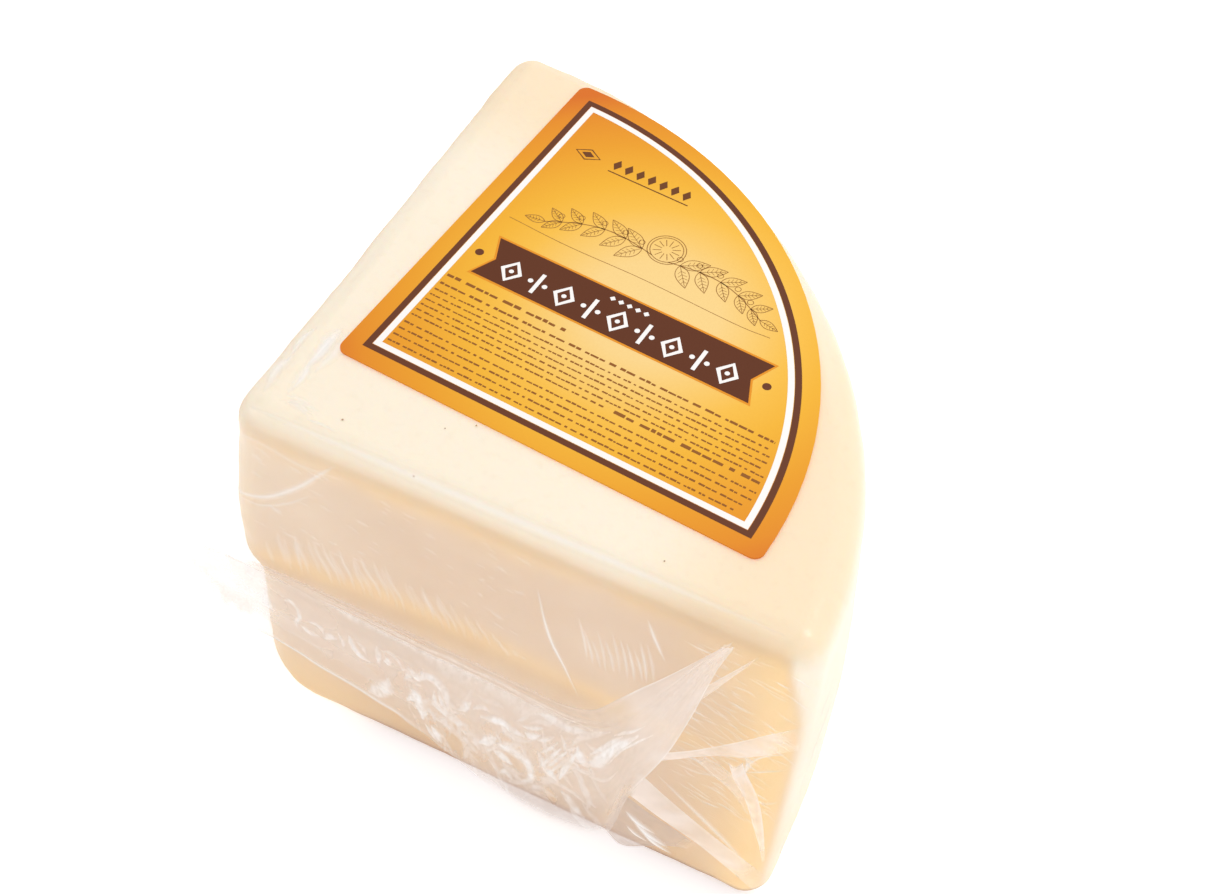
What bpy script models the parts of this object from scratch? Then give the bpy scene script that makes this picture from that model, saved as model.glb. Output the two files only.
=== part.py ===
"""A quarter of a small parmesan wheel, shrink-wrapped in clear film, with a paper label on top.

Metres, +Z up. The design frame has the wheel's axis at the origin, the front cut face along +X in the
plane y = 0 and the left cut face along +Y in the plane x = 0. An empty then carries every piece to the
part's own frame, whose origin is the centre of the whole object's box, at the level it stands on.
"""
import math

import bmesh
import bpy
import numpy as np
from mathutils import Vector

MM = 0.001

# The quarter wheel, out to its skin-tight film.
WHEEL_RADIUS = 127 * MM
WHEEL_HEIGHT = 100 * MM
RIND_BULGE = 2.8 * MM           # how far the rind swells at mid height
RIND_BULGE_RUN = math.radians(9)  # the swell starts from nothing at the cut faces, over this angle
CUT_EDGE_RADIUS = 6 * MM        # worn top and bottom edges
POINT_RADIUS = 8 * MM           # the upright edge at the wheel's centre
RIND_CORNER_RADIUS = 6.5 * MM   # the upright edges between a cut face and the rind
FACE_HOLLOW = 1.0 * MM          # the cut faces are a little dished
RIND_FROM = 0.98                # a point further out than this share of the radius is on the rind
ARC_STEPS = 30
CORNER_STEPS = 6
FACE_STEPS = 12
EDGE_STEPS = 5
WALL_STEPS = 6

# The sector-shaped label, turned a little on the top.
LABEL_GAP = 0.3 * MM
LABEL_THICKNESS = 0.4 * MM
LABEL_POINT = (16.2 * MM, 27.2 * MM)  # where the label's printed lines meet
LABEL_TURN = math.radians(-4.7)
LABEL_LINE_RADIUS = 88.4 * MM
LABEL_MARGIN = 3.8 * MM         # paper outside the printed lines
LABEL_CORNER_RADIUS = 2.2 * MM

# The bag's free film, stood off the front cut face by a hair.
FACE_GAP = 0.3 * MM
SEAM_THICKNESS = 1.4 * MM       # crumpled double film
SEAM_EDGE_THICKNESS = 0.8 * MM
SEAM_STEPS = 64
SEAM_SPANS = 4                  # mesh strips from root to ridge, and from ridge to free edge
SEAM_RIPPLE = 1.1 * MM
SEAM_RIPPLE_LENGTH = 11 * MM
SEAM_RIPPLE_LEAN = 2.5          # radians by which a ripple lags at the free edge

# The seam fin, from its loose left tip, along the front face, to the sail that climbs to the top edge.
# Each station: (x, z) of the root on the face, then (x, y, z) of the ridge and of the free edge, in mm.
SEAM_STATIONS = (
    ((-17, 44), (-17, -2.0, 47.0), (-16, -3.0, 33)),
    ((-8, 48), (-7, -3.0, 52.0), (-6, -4.5, 33)),
    ((4, 51.5), (7, -4.5, 54.5), (7.5, -7.0, 36)),
    ((26, 51.8), (28, -5.0, 54), (30, -8.5, 34)),
    ((43, 51.3), (45, -5.5, 53.5), (45, -10.0, 32)),
    ((57, 51), (60, -5.5, 53), (57, -11.0, 28)),
    ((69, 50.3), (72, -6.0, 53), (70, -12.0, 23.5)),
    ((78, 50.5), (81, -6.5, 54), (82, -13.0, 24.5)),
    ((84, 53.5), (87.5, -6.5, 56.5), (93.5, -12.5, 28.5)),
    ((89, 61.4), (92, -5.0, 60), (97.5, -10.5, 46)),
    ((93.5, 69), (96.4, -3.6, 67.8), (103, -7.5, 62)),
    ((98, 76.3), (100.4, -2.8, 76.6), (106.3, -5.0, 77)),
    ((103, 85), (104.6, -1.8, 86.4), (108.5, -3.0, 89.5)),
    ((107.8, 93.6), (108.6, -1.4, 95), (110.4, -1.8, 97.5)),
)

# The forked fold near the right corner. Each station: (x, z) on the face, height off it and width, in mm.
UPPER_PLEAT = (
    (99, 47, 1.5, 4), (106, 55.5, 2.4, 6), (113.5, 63.5, 2.8, 8), (119, 70.5, 2.0, 7), (123, 76.5, 0.9, 4),
)
LOWER_PLEAT = ((117, 52.5, 2.2, 5), (120, 47, 2.2, 5), (122, 38, 1.6, 4), (124, 30, 0.8, 3))
# Across a pleat: shares of its width from the middle, and of its height.
PLEAT_PROFILE = ((-0.5, 0.0), (-0.2, 0.45), (-0.07, 0.95), (0.07, 0.95), (0.2, 0.45), (0.5, 0.0))
PLEAT_STEPS = 12

# The film gathered below the fin's right end, between two lines of (x, y, z) in mm.
FLAP_TOP = ((95.5, -3.2, 41), (103, -3.4, 36.5), (113.5, -2.8, 29), (124, -1.5, 21.5))
FLAP_FOOT = ((90.5, -4.6, 14), (94.5, -3.4, 7.5), (101, -3.2, 12.5), (108, -3.0, 19), (122.5, -1.8, 15))
SHEET_THICKNESS = 1.2 * MM
SHEET_BELLY = 0.8 * MM


def material(name, colour, roughness, alpha=1.0):
    """A plain Principled material."""
    mat = bpy.data.materials.new(name)
    mat.use_nodes = True
    shader = mat.node_tree.nodes["Principled BSDF"]
    shader.inputs["Base Color"].default_value = (*colour, 1.0)
    shader.inputs["Roughness"].default_value = roughness
    shader.inputs["Alpha"].default_value = alpha
    return mat


def add_object(name, mesh_maker, mat, parent):
    """Turn a finished bmesh into a named object, with its faces pointing out."""
    bmesh.ops.recalc_face_normals(mesh_maker, faces=mesh_maker.faces)
    if mesh_maker.calc_volume(signed=True) < 0:
        bmesh.ops.reverse_faces(mesh_maker, faces=mesh_maker.faces)
    mesh = bpy.data.meshes.new(name)
    mesh_maker.to_mesh(mesh)
    mesh_maker.free()
    mesh.materials.append(mat)
    mesh.shade_smooth()
    mesh.set_sharp_from_angle(angle=math.radians(40))
    obj = bpy.data.objects.new(name, mesh)
    bpy.context.scene.collection.objects.link(obj)
    obj.parent = parent
    return obj


def loft(rings):
    """Join rings of equally many points into one closed skin with flat or fanned ends."""
    bm = bmesh.new()
    layers = [[bm.verts.new(Vector(p)) for p in ring] for ring in rings]
    count = len(layers[0])
    for lower, upper in zip(layers, layers[1:]):
        for i in range(count):
            j = (i + 1) % count
            bm.faces.new((lower[i], lower[j], upper[j], upper[i]))
    ends = [bm.faces.new(layers[0]), bm.faces.new(layers[-1])]
    bmesh.ops.triangulate(bm, faces=ends)
    return bm


def arc(centre, radius, start, end, steps):
    """Points and outward directions along an arc, both ends included."""
    angles = np.linspace(start, end, steps + 1)
    normals = np.column_stack((np.cos(angles), np.sin(angles)))
    return np.asarray(centre) + radius * normals, normals


def sector_outline(radius, point_radius, corner_radius, face_steps=1):
    """A quarter circle with rounded corners: its points and their outward directions."""
    corner_x = math.sqrt((radius - corner_radius) ** 2 - corner_radius ** 2)
    corner_angle = math.atan2(corner_radius, corner_x)
    quarter = math.pi / 2
    pieces = [
        arc((point_radius, point_radius), point_radius, -math.pi, -quarter, CORNER_STEPS),
        arc((corner_x, corner_radius), corner_radius, -quarter, corner_angle, CORNER_STEPS),
        arc((0, 0), radius, corner_angle, quarter - corner_angle, ARC_STEPS),
        arc((corner_radius, corner_x), corner_radius, quarter - corner_angle, math.pi, CORNER_STEPS),
    ]
    share = np.linspace(0, 1, face_steps + 1)[1:-1, None]

    def straight(start, end, normal):
        return np.asarray(start) * (1 - share) + np.asarray(end) * share, np.tile(normal, (len(share), 1))

    front = straight(pieces[0][0][-1], pieces[1][0][0], (0.0, -1.0))
    left = straight(pieces[3][0][-1], pieces[0][0][0], (-1.0, 0.0))
    ordered = [pieces[0], front, pieces[1], (pieces[2][0][1:-1], pieces[2][1][1:-1]), pieces[3], left]
    points = np.vstack([piece[0] for piece in ordered])
    normals = np.vstack([piece[1] for piece in ordered])
    return points, normals


def smooth_rise(value):
    """0 below 0, 1 above 1, and a smooth S between."""
    value = np.clip(value, 0, 1)
    return value * value * (3 - 2 * value)


def wedge_rings():
    """The quarter wheel as level rings, from the base up."""
    points, normals = sector_outline(WHEEL_RADIUS, POINT_RADIUS, RIND_CORNER_RADIUS, FACE_STEPS)
    reach = np.hypot(points[:, 0], points[:, 1])
    bearing = np.arctan2(points[:, 1], points[:, 0])
    from_cut = np.minimum(bearing, math.pi / 2 - bearing) / RIND_BULGE_RUN
    on_rind = np.where(reach > WHEEL_RADIUS * RIND_FROM, smooth_rise(from_cut), 0)
    along = np.maximum(points[:, 0], points[:, 1]) / WHEEL_RADIUS
    flat_part = np.minimum(points[:, 0], points[:, 1]) < 0.001 * MM
    on_face = np.where(flat_part, np.sin(math.pi * np.clip(along, 0, 1)) ** 2, 0)

    quarter = math.pi / 2
    turn = np.linspace(0, quarter, EDGE_STEPS + 1)
    levels = [(CUT_EDGE_RADIUS * (1 - math.cos(t)), CUT_EDGE_RADIUS * (1 - math.sin(t))) for t in turn]
    wall = np.linspace(CUT_EDGE_RADIUS, WHEEL_HEIGHT - CUT_EDGE_RADIUS, WALL_STEPS + 1)[1:-1]
    profile = levels + [(z, 0.0) for z in wall] + [(WHEEL_HEIGHT - z, inset) for z, inset in reversed(levels)]
    rings = []
    for z, inset in profile:
        swell = math.sin(math.pi * z / WHEEL_HEIGHT)
        out = RIND_BULGE * swell * on_rind - FACE_HOLLOW * swell * on_face - inset
        flat = points + normals * out[:, None]
        rings.append([(x, y, z) for x, y in flat])
    return rings


def label_rings():
    """The label's outline: a sector grown past its printed lines, with small round corners."""
    grown = LABEL_MARGIN - LABEL_CORNER_RADIUS
    radius = LABEL_LINE_RADIUS + grown
    side = math.sqrt(radius ** 2 - grown ** 2)
    side_angle = math.atan2(-grown, side)
    quarter = math.pi / 2
    stretches = [
        arc((-grown, -grown), LABEL_CORNER_RADIUS, -math.pi, -quarter, CORNER_STEPS),
        arc((side, -grown), LABEL_CORNER_RADIUS, -quarter, side_angle, CORNER_STEPS),
        arc((0, 0), radius + LABEL_CORNER_RADIUS, side_angle, quarter - side_angle, ARC_STEPS),
        arc((-grown, side), LABEL_CORNER_RADIUS, quarter - side_angle, math.pi, CORNER_STEPS),
    ]
    stretches[2] = (stretches[2][0][1:-1], stretches[2][1][1:-1])
    flat = np.vstack([points for points, _ in stretches])
    turn = np.array([[math.cos(LABEL_TURN), -math.sin(LABEL_TURN)], [math.sin(LABEL_TURN), math.cos(LABEL_TURN)]])
    flat = flat @ turn.T + np.asarray(LABEL_POINT)
    base = WHEEL_HEIGHT + LABEL_GAP
    return [[(x, y, z) for x, y in flat] for z in (base, base + LABEL_THICKNESS)]


def smooth_path(stations, steps):
    """A Catmull-Rom curve through the stations, evenly stepped between them."""
    stations = np.asarray(stations, float)
    padded = np.vstack((2 * stations[0] - stations[1], stations, 2 * stations[-1] - stations[-2]))
    samples = []
    for t in np.linspace(0, len(stations) - 1, steps + 1):
        i = min(int(t), len(stations) - 2)
        a, b, c, d = padded[i:i + 4]
        u = t - i
        samples.append(0.5 * (2 * b + (c - a) * u + (2 * a - 5 * b + 4 * c - d) * u ** 2
                              + (3 * b - a - 3 * c + d) * u ** 3))
    return np.array(samples)


def seam_rings():
    """The fin's rings: a thin bent strip from root to ridge to free edge, thinner at its edge."""
    root = np.array([(x, 0.0, z) for (x, z), _, _ in SEAM_STATIONS]) * MM - (0.0, FACE_GAP, 0.0)
    ridge = np.array([ridge for _, ridge, _ in SEAM_STATIONS]) * MM
    edge = np.array([edge for _, _, edge in SEAM_STATIONS]) * MM
    root, ridge, edge = (smooth_path(line, SEAM_STEPS) for line in (root, ridge, edge))
    share = np.linspace(0, 1, SEAM_SPANS + 1)
    rings = []
    for step in range(SEAM_STEPS + 1):
        upper = [root[step] * (1 - s) + ridge[step] * s for s in share]
        lower = [ridge[step] * (1 - s) + edge[step] * s for s in share[1:]]
        strip = np.array(upper + lower)
        run = root[step][0] + root[step][2]
        depth = np.linspace(0, 1, len(strip))
        ripple = SEAM_RIPPLE * np.sin(2 * math.pi * run / SEAM_RIPPLE_LENGTH + SEAM_RIPPLE_LEAN * depth)
        strip[:, 1] -= np.abs(ripple) * depth
        before, after = max(step - 1, 0), min(step + 1, SEAM_STEPS)
        forward = ridge[after] - ridge[before]
        across = np.gradient(strip, axis=0)
        normal = np.cross(across, forward)
        normal /= np.linalg.norm(normal, axis=1)[:, None]
        thickness = SEAM_THICKNESS + (SEAM_EDGE_THICKNESS - SEAM_THICKNESS) * depth
        half = normal * (thickness / 2)[:, None]
        ring = np.vstack((strip + half, (strip - half)[::-1]))
        ring[:, 1] = np.minimum(ring[:, 1], -FACE_GAP)
        rings.append([tuple(p) for p in ring])
    return rings


def pleat_rings(stations, steps):
    """A pleat of film on the front face. Stations: (x, z) on the face, height off it and width, in mm."""
    line = smooth_path([(x, z, height, width) for x, z, height, width in stations], steps) * MM
    forward = np.gradient(line[:, :2], axis=0)
    forward /= np.linalg.norm(forward, axis=1)[:, None]
    side = np.column_stack((-forward[:, 1], forward[:, 0]))
    rings = []
    for (x, z, height, width), (side_x, side_z) in zip(line, side):
        ring = []
        for across, lift in PLEAT_PROFILE:
            ring.append((x + side_x * width * across, -FACE_GAP - height * lift, z + side_z * width * across))
        rings.append(ring)
    return rings


def sheet_rings(upper, lower, steps):
    """A thin hanging sheet between two lines, bellied a little. Stations are (x, y, z) in mm."""
    upper, lower = smooth_path(upper, steps) * MM, smooth_path(lower, steps) * MM
    middle = (upper + lower) / 2 - np.array([0.0, SHEET_BELLY, 0.0])
    half = np.array([0.0, SHEET_THICKNESS / 2, 0.0])
    rings = []
    for high, mid, low in zip(upper, middle, lower):
        ring = [high - half, mid - half, low - half, low + half, mid + half, high + half]
        rings.append([tuple(p) for p in ring])
    return rings


def build():
    """Make every piece and carry them to the part's own frame."""
    for obj in list(bpy.data.objects):
        bpy.data.objects.remove(obj)
    frame = bpy.data.objects.new("chunk_frame", None)
    bpy.context.scene.collection.objects.link(frame)
    cheese = material("cheese", (0.86, 0.66, 0.43), 0.45)
    paper = material("label_paper", (0.90, 0.45, 0.06), 0.35)
    film = material("clear_film", (0.85, 0.80, 0.76), 0.15, alpha=0.4)
    pieces = [
        add_object("cheese", loft(wedge_rings()), cheese, frame),
        add_object("label", loft(label_rings()), paper, frame),
        add_object("film_seam", loft(seam_rings()), film, frame),
        add_object("film_pleat_upper", loft(pleat_rings(UPPER_PLEAT, PLEAT_STEPS)), film, frame),
        add_object("film_pleat_lower", loft(pleat_rings(LOWER_PLEAT, PLEAT_STEPS)), film, frame),
        add_object("film_flap", loft(sheet_rings(FLAP_TOP, FLAP_FOOT, PLEAT_STEPS)), film, frame),
    ]
    corners = np.array([v.co for piece in pieces for v in piece.data.vertices])
    middle = (corners.min(axis=0) + corners.max(axis=0)) / 2
    frame.location = (-middle[0], -middle[1], 0.0)


build()
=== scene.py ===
"""The looks of a shrink-wrapped quarter of parmesan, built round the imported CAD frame.

Lengths and points are in millimetres in the design frame, unless a line says otherwise: the wheel's axis at the
origin, the front cut face along +X in the plane y = 0, the left cut face along +Y, z up from the table.
to_part() carries them to the part's own frame, in metres. Lights are placed in the part's frame.
"""
import math
import random
from functools import partial

import bpy
import numpy as np
from mathutils import Matrix, Vector


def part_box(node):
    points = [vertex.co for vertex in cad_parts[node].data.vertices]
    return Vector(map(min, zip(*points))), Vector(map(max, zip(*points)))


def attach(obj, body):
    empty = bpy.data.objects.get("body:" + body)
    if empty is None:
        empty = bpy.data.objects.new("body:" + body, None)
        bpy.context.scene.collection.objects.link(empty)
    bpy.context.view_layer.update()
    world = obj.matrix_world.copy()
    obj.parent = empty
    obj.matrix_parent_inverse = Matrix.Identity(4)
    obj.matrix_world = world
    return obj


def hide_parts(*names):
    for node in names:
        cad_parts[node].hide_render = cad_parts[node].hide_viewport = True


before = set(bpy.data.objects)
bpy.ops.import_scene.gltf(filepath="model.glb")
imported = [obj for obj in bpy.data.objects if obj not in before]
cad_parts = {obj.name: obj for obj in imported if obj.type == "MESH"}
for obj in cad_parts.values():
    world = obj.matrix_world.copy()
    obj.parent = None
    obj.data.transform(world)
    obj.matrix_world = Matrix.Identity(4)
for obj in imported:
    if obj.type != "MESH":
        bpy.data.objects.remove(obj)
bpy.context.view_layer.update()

MM = 0.001
ROOT = "root"
CHEESE_LOW, CHEESE_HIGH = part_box("cheese")
_, LABEL_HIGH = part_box("label")
HEIGHT = (CHEESE_HIGH.z - CHEESE_LOW.z) / MM
RADIUS = 127.0
RIND_BULGE = 2.8                    # the rind's swell at mid height
RIND_BULGE_RUN = math.radians(9)    # how far from each cut face the swell takes to grow
FACE_HOLLOW = 1.0                   # the cut faces' dip at their middle
POINT_SWELL = 2.1                   # the point edge's bulge above the seam
EDGE_RADIUS = 6.0
POINT_RADIUS = 8.0
CORNER_RADIUS = 6.5
MIDDLE = RADIUS * 0.4               # a place well inside the wedge, in x and in y
FACE_STEPS, ARC_STEPS, CORNER_STEPS = 110, 150, 10
WALL_STEPS, EDGE_STEPS, BASE_STEPS, TOP_STEPS = 80, 7, 8, 34

LABEL_POINT = (16.2, 27.2)
LABEL_TURN = math.radians(-4.7)
LABEL_RADIUS = 88.4
LABEL_TOP = LABEL_HIGH.z / MM
INK_LEVEL, RIBBON_LEVEL, ORNAMENT_LEVEL = 0.020, 0.035, 0.050    # how far each layer is above the paper


def to_part(points):
    """Design-frame millimetres to part-frame metres."""
    points = np.asarray(points, float) * MM
    return points + np.array([CHEESE_LOW.x, CHEESE_LOW.y, 0.0])


# ---- noise

def hash01(cells, seed):
    """A repeatable random number from 0 to 1 for each whole-number cell."""
    primes = np.array([374761393, 668265263, 1442695041][:cells.shape[-1]], np.int64)
    mixed = (cells.astype(np.int64) * primes).sum(-1) + seed * 974711
    mixed = (mixed ^ (mixed >> 13)) * 1274126177 & 0xFFFFFFFF
    mixed = (mixed ^ (mixed >> 15)) * 2246822519 & 0xFFFFFFFF
    return (mixed ^ (mixed >> 16)) / 0xFFFFFFFF


def value_noise(points, seed):
    """Smooth noise from 0 to 1 with features about one unit across, in 2-D or 3-D."""
    cells = np.floor(points)
    part = points - cells
    part = part * part * (3 - 2 * part)
    total = np.zeros(points.shape[0])
    dims = points.shape[1]
    for corner in range(2 ** dims):
        step = np.array([(corner >> d) & 1 for d in range(dims)])
        weight = np.prod(np.where(step, part, 1 - part), axis=1)
        total += weight * hash01(cells + step, seed)
    return total


def fractal(points, cell, seed, octaves=3):
    """Layered smooth noise from about -1 to 1; cell is the largest feature's size."""
    total, size, norm = 0.0, 1.0, 0.0
    for octave in range(octaves):
        total = total + size * (value_noise(points / cell * 2 ** octave, seed + octave) * 2 - 1)
        norm += size
        size *= 0.5
    return total / norm * 1.6


def smooth_rise(value):
    """0 below 0, 1 above 1, and a smooth S between."""
    value = np.clip(value, 0, 1)
    return value * value * (3 - 2 * value)


def rise(value, start, end):
    """A smooth step from 0 at start to 1 at end, whichever of them is the larger."""
    return smooth_rise((value - start) / (end - start))


def bell(value, middle, width):
    """1 at the middle, falling away smoothly over the width to both sides."""
    return np.exp(-((value - middle) / width) ** 2)


# ---- meshes

def new_mesh(name, points, faces, attributes=None, smooth=True):
    """A mesh object from design-frame points, with named float attributes on its points."""
    mesh = bpy.data.meshes.new(name)
    mesh.from_pydata(to_part(points).tolist(), [], [list(map(int, f)) for f in faces])
    for key, values in (attributes or {}).items():
        layer = mesh.attributes.new(key, "FLOAT", "POINT")
        layer.data.foreach_set("value", np.asarray(values, np.float32))
    mesh.update()
    if smooth:
        mesh.shade_smooth()
    obj = bpy.data.objects.new(name, mesh)
    bpy.context.scene.collection.objects.link(obj)
    return obj


def grid_faces(rows, columns, start=0, closed=False):
    """Quads over a grid of points stored row by row."""
    last = columns if closed else columns - 1
    i, j = np.meshgrid(np.arange(rows - 1), np.arange(last), indexing="ij")
    i, j = i.ravel(), j.ravel()
    k = (j + 1) % columns
    here, there = i * columns, (i + 1) * columns
    return np.column_stack((here + j, here + k, there + k, there + j)) + start


def grid_normals(grid):
    """Unit normals of a grid of points."""
    along = np.gradient(grid, axis=0)
    across = np.gradient(grid, axis=1)
    normal = np.cross(along, across)
    return normal / np.maximum(np.linalg.norm(normal, axis=-1, keepdims=True), 1e-9)


def place(obj, material, slot, *nodes):
    """Finish a piece: its material, its body and the CAD nodes it stands for; a piece in the clear_film slot
    casts no shadow and is unseen by diffuse light.
    """
    obj.data.materials.clear()
    obj.data.materials.append(material)
    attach(obj, ROOT)
    if slot == "clear_film":
        obj.visible_shadow = False
        obj.visible_diffuse = False
    if nodes:
        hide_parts(*nodes)
    return obj


def smooth_path(stations, count):
    """A Catmull-Rom curve through the stations, with count points."""
    stations = np.asarray(stations, float)
    padded = np.vstack((2 * stations[0] - stations[1], stations, 2 * stations[-1] - stations[-2]))
    samples = []
    for t in np.linspace(0, len(stations) - 1, count):
        i = min(int(t), len(stations) - 2)
        a, b, c, d = padded[i:i + 4]
        u = t - i
        samples.append(0.5 * (2 * b + (c - a) * u + (2 * a - 5 * b + 4 * c - d) * u ** 2
                              + (3 * b - a - 3 * c + d) * u ** 3))
    return np.array(samples)


# ---- materials

def linear(red, green, blue):
    """A display colour, 0 to 255, as linear RGBA."""
    def channel(value):
        value /= 255
        return value / 12.92 if value <= 0.04045 else ((value + 0.055) / 1.055) ** 2.4
    return (channel(red), channel(green), channel(blue), 1.0)


class Tree:
    """A material's node tree with short calls to add and link nodes."""

    def __init__(self, name):
        self.material = bpy.data.materials.new(name)
        self.material.use_nodes = True
        self.nodes = self.material.node_tree.nodes
        self.links = self.material.node_tree.links
        self.nodes.clear()

    def add(self, kind, inputs=None, **settings):
        """A node; inputs maps socket names or numbers to values or to another node's output."""
        node = self.nodes.new("ShaderNode" + kind)
        for key, value in settings.items():
            setattr(node, key, value)
        for key, value in (inputs or {}).items():
            if isinstance(value, bpy.types.NodeSocket):
                self.links.new(value, node.inputs[key])
            else:
                node.inputs[key].default_value = value
        return node

    def shader(self, kind, inputs):
        """A shader's result."""
        return self.add(kind, inputs).outputs[0]

    def blend(self, share, first, second):
        """A shader between two."""
        return self.shader("MixShader", {0: share, 1: first, 2: second})

    def math(self, operation, first, second=0.0, third=0.0, clamp=False):
        """A math node's result."""
        inputs = {0: first, 1: second, 2: third}
        return self.add("Math", inputs, operation=operation, use_clamp=clamp).outputs[0]

    def mix(self, share, first, second):
        """A colour between two."""
        return self.add("Mix", {"Factor": share, 6: first, 7: second}, data_type="RGBA").outputs[2]

    def attribute(self, name):
        """A named point attribute's value."""
        return self.add("Attribute", attribute_name=name).outputs["Fac"]

    def here(self):
        """The place in the object's own space."""
        return self.add("TexCoord").outputs["Object"]

    def noise(self, scale, detail):
        """Noise over the object's own space, from 0 to 1."""
        return self.add("TexNoise", {"Vector": self.here(), "Scale": scale, "Detail": detail}).outputs["Fac"]

    def bump(self, height, distance, strength=1.0):
        """A bumped normal; distance is in metres."""
        inputs = {"Height": height, "Distance": distance, "Strength": strength}
        return self.add("Bump", inputs).outputs["Normal"]

    def ramp(self, value, stops):
        """A colour ramp from (place, colour) stops."""
        node = self.add("ValToRGB", {"Fac": value})
        ramp = node.color_ramp
        while len(ramp.elements) < len(stops):
            ramp.elements.new(0.5)
        for element, (spot, colour) in zip(ramp.elements, stops):
            element.position = spot
            element.color = colour
        return node.outputs["Color"]

    def output(self, surface):
        """Send a shader to the surface and give back the material."""
        self.add("OutputMaterial", {"Surface": surface})
        return self.material

    def paper(self, colour, roughness):
        """The finished material of printed paper."""
        inputs = {"Base Color": colour, "Roughness": roughness, "Specular IOR Level": 0.15}
        return self.output(self.shader("BsdfPrincipled", inputs))


def cheese_material():
    """Pale waxy cheese: cream on the rind, tan on the cut, warmer in a band along the cut's borders, with
    painted shade and a painted contact shadow at the foot.
    """
    tree = Tree("parmesan")
    cloud = tree.noise(38.0, 4.0)
    grain = tree.noise(420.0, 3.0)
    colour = linear(252, 238, 217)
    # The first two are the cheese's own colours; the third is painted shade and the fourth a painted contact
    # shadow along the foot.
    for name, rgb in (("cut", (223, 196, 170)), ("warm", (246, 210, 156)),
                      ("painted_shade", (205, 172, 142)), ("foot", (150, 112, 92))):
        colour = tree.mix(tree.attribute(name), colour, linear(*rgb))
    pale = tree.math("MULTIPLY", tree.math("SUBTRACT", cloud, 0.5), 0.55, clamp=True)
    colour = tree.mix(pale, colour, linear(250, 232, 208))
    speckle = tree.math("MULTIPLY", tree.math("SUBTRACT", grain, 0.55), 0.35, clamp=True)
    colour = tree.mix(speckle, colour, linear(214, 176, 128))
    return tree.output(tree.shader("BsdfPrincipled", {
        "Base Color": colour,
        "Roughness": 0.55,
        "Specular IOR Level": 0.08,
        "Subsurface Weight": 0.25,
        "Subsurface Radius": (1.0, 0.6, 0.3),
        "Subsurface Scale": 0.003,
        "Normal": tree.bump(tree.noise(700.0, 2.0), 0.0001, 0.5),
    }))


def film_material(name, gloss_gain, gloss_most, roughness, ripple):
    """Clear shrink film: it shows what is behind it, mirrors lamps, is milky where its haze is high, is greyed
    by painted shade, and glows with painted light and painted glints.
    """
    tree = Tree(name)
    normal = tree.bump(tree.noise(900.0, 2.0), ripple)
    clear = tree.shader("BsdfTransparent", {"Color": (0.985, 0.98, 0.975, 1)})
    gloss = tree.shader("BsdfGlossy", {"Color": (1, 1, 1, 1), "Roughness": roughness, "Normal": normal})
    facing = tree.add("LayerWeight", {"Blend": 0.5, "Normal": normal}).outputs["Facing"]
    fresnel = tree.math("MULTIPLY_ADD", tree.math("POWER", facing, 5.0), 0.96, 0.04)
    shine = tree.math("MINIMUM", tree.math("MULTIPLY", fresnel, gloss_gain), gloss_most)
    sheet = tree.blend(shine, clear, gloss)
    shade = tree.attribute("shade")
    milk = tree.mix(shade, linear(240, 233, 229), linear(214, 202, 196))
    front = tree.shader("BsdfDiffuse", {"Color": milk})
    through = tree.shader("BsdfTranslucent", {"Color": milk})
    # Painted light: a faint glow stands in for light gathered inside the crumpled film, put out where painted
    # shade is.
    painted_glow_colour = tree.mix(shade, (1, 0.98, 0.965, 1), (0, 0, 0, 1))
    glow = tree.shader("Emission", {"Color": painted_glow_colour, "Strength": 0.13})
    milky = tree.shader("AddShader", {0: tree.blend(0.5, front, through), 1: glow})
    film = tree.blend(tree.attribute("haze"), sheet, milky)
    # Painted glints: a white glow that makes the folds look white from every side.
    white = tree.shader("Emission", {"Color": (1, 0.965, 0.94, 1), "Strength": 0.97})
    return tree.output(tree.blend(tree.attribute("glint"), film, white))


def print_material(name, red, green, blue):
    """One printed ink with a trace of paper grain."""
    tree = Tree(name)
    colour = linear(red, green, blue)
    grain = tree.math("MULTIPLY", tree.noise(1500.0, 2.0), 0.25)
    darker = tuple(0.8 * c for c in colour[:3]) + (1,)
    return tree.paper(tree.mix(grain, colour, darker), 0.4)


def label_material():
    """The label's ground: pale in the middle, through yellow to orange at its corners."""
    tree = Tree("label_ground")
    centre = to_part([(*label_to_design([(44.0, 40.0)])[0], 0.0)])[0]
    flat = tree.add("VectorMath", {0: tree.here(), 1: (1, 1, 0)}, operation="MULTIPLY").outputs[0]
    away = tree.add("VectorMath", {0: flat, 1: tuple(centre)}, operation="DISTANCE").outputs["Value"]
    # Millimetres from the centre and the colour there, toned for the strong light overhead.
    reach = 70.0
    tone = (0.93, 0.92, 0.78, 1)
    stops = (
        (0, (254, 222, 163)), (14, (254, 219, 156)), (22, (253, 209, 124)), (30, (252, 197, 84)),
        (38, (248, 186, 61)), (50, (240, 163, 46)), (60, (234, 145, 43)), (67, (223, 115, 42)),
    )
    stops = [(spot / reach, tuple(np.multiply(linear(*rgb), tone))) for spot, rgb in stops]
    colour = tree.ramp(tree.math("DIVIDE", away, reach * MM), stops)
    grain = tree.math("MULTIPLY", tree.noise(1600.0, 2.0), 0.12)
    return tree.paper(tree.mix(grain, colour, linear(214, 140, 50)), 0.5)


# ---- the wedge

def arc(centre, radius, start, end, steps):
    """Points and outward directions along an arc, both ends included."""
    angles = np.linspace(start, end, steps + 1)
    normals = np.column_stack((np.cos(angles), np.sin(angles)))
    return np.asarray(centre) + radius * normals, normals


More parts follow.
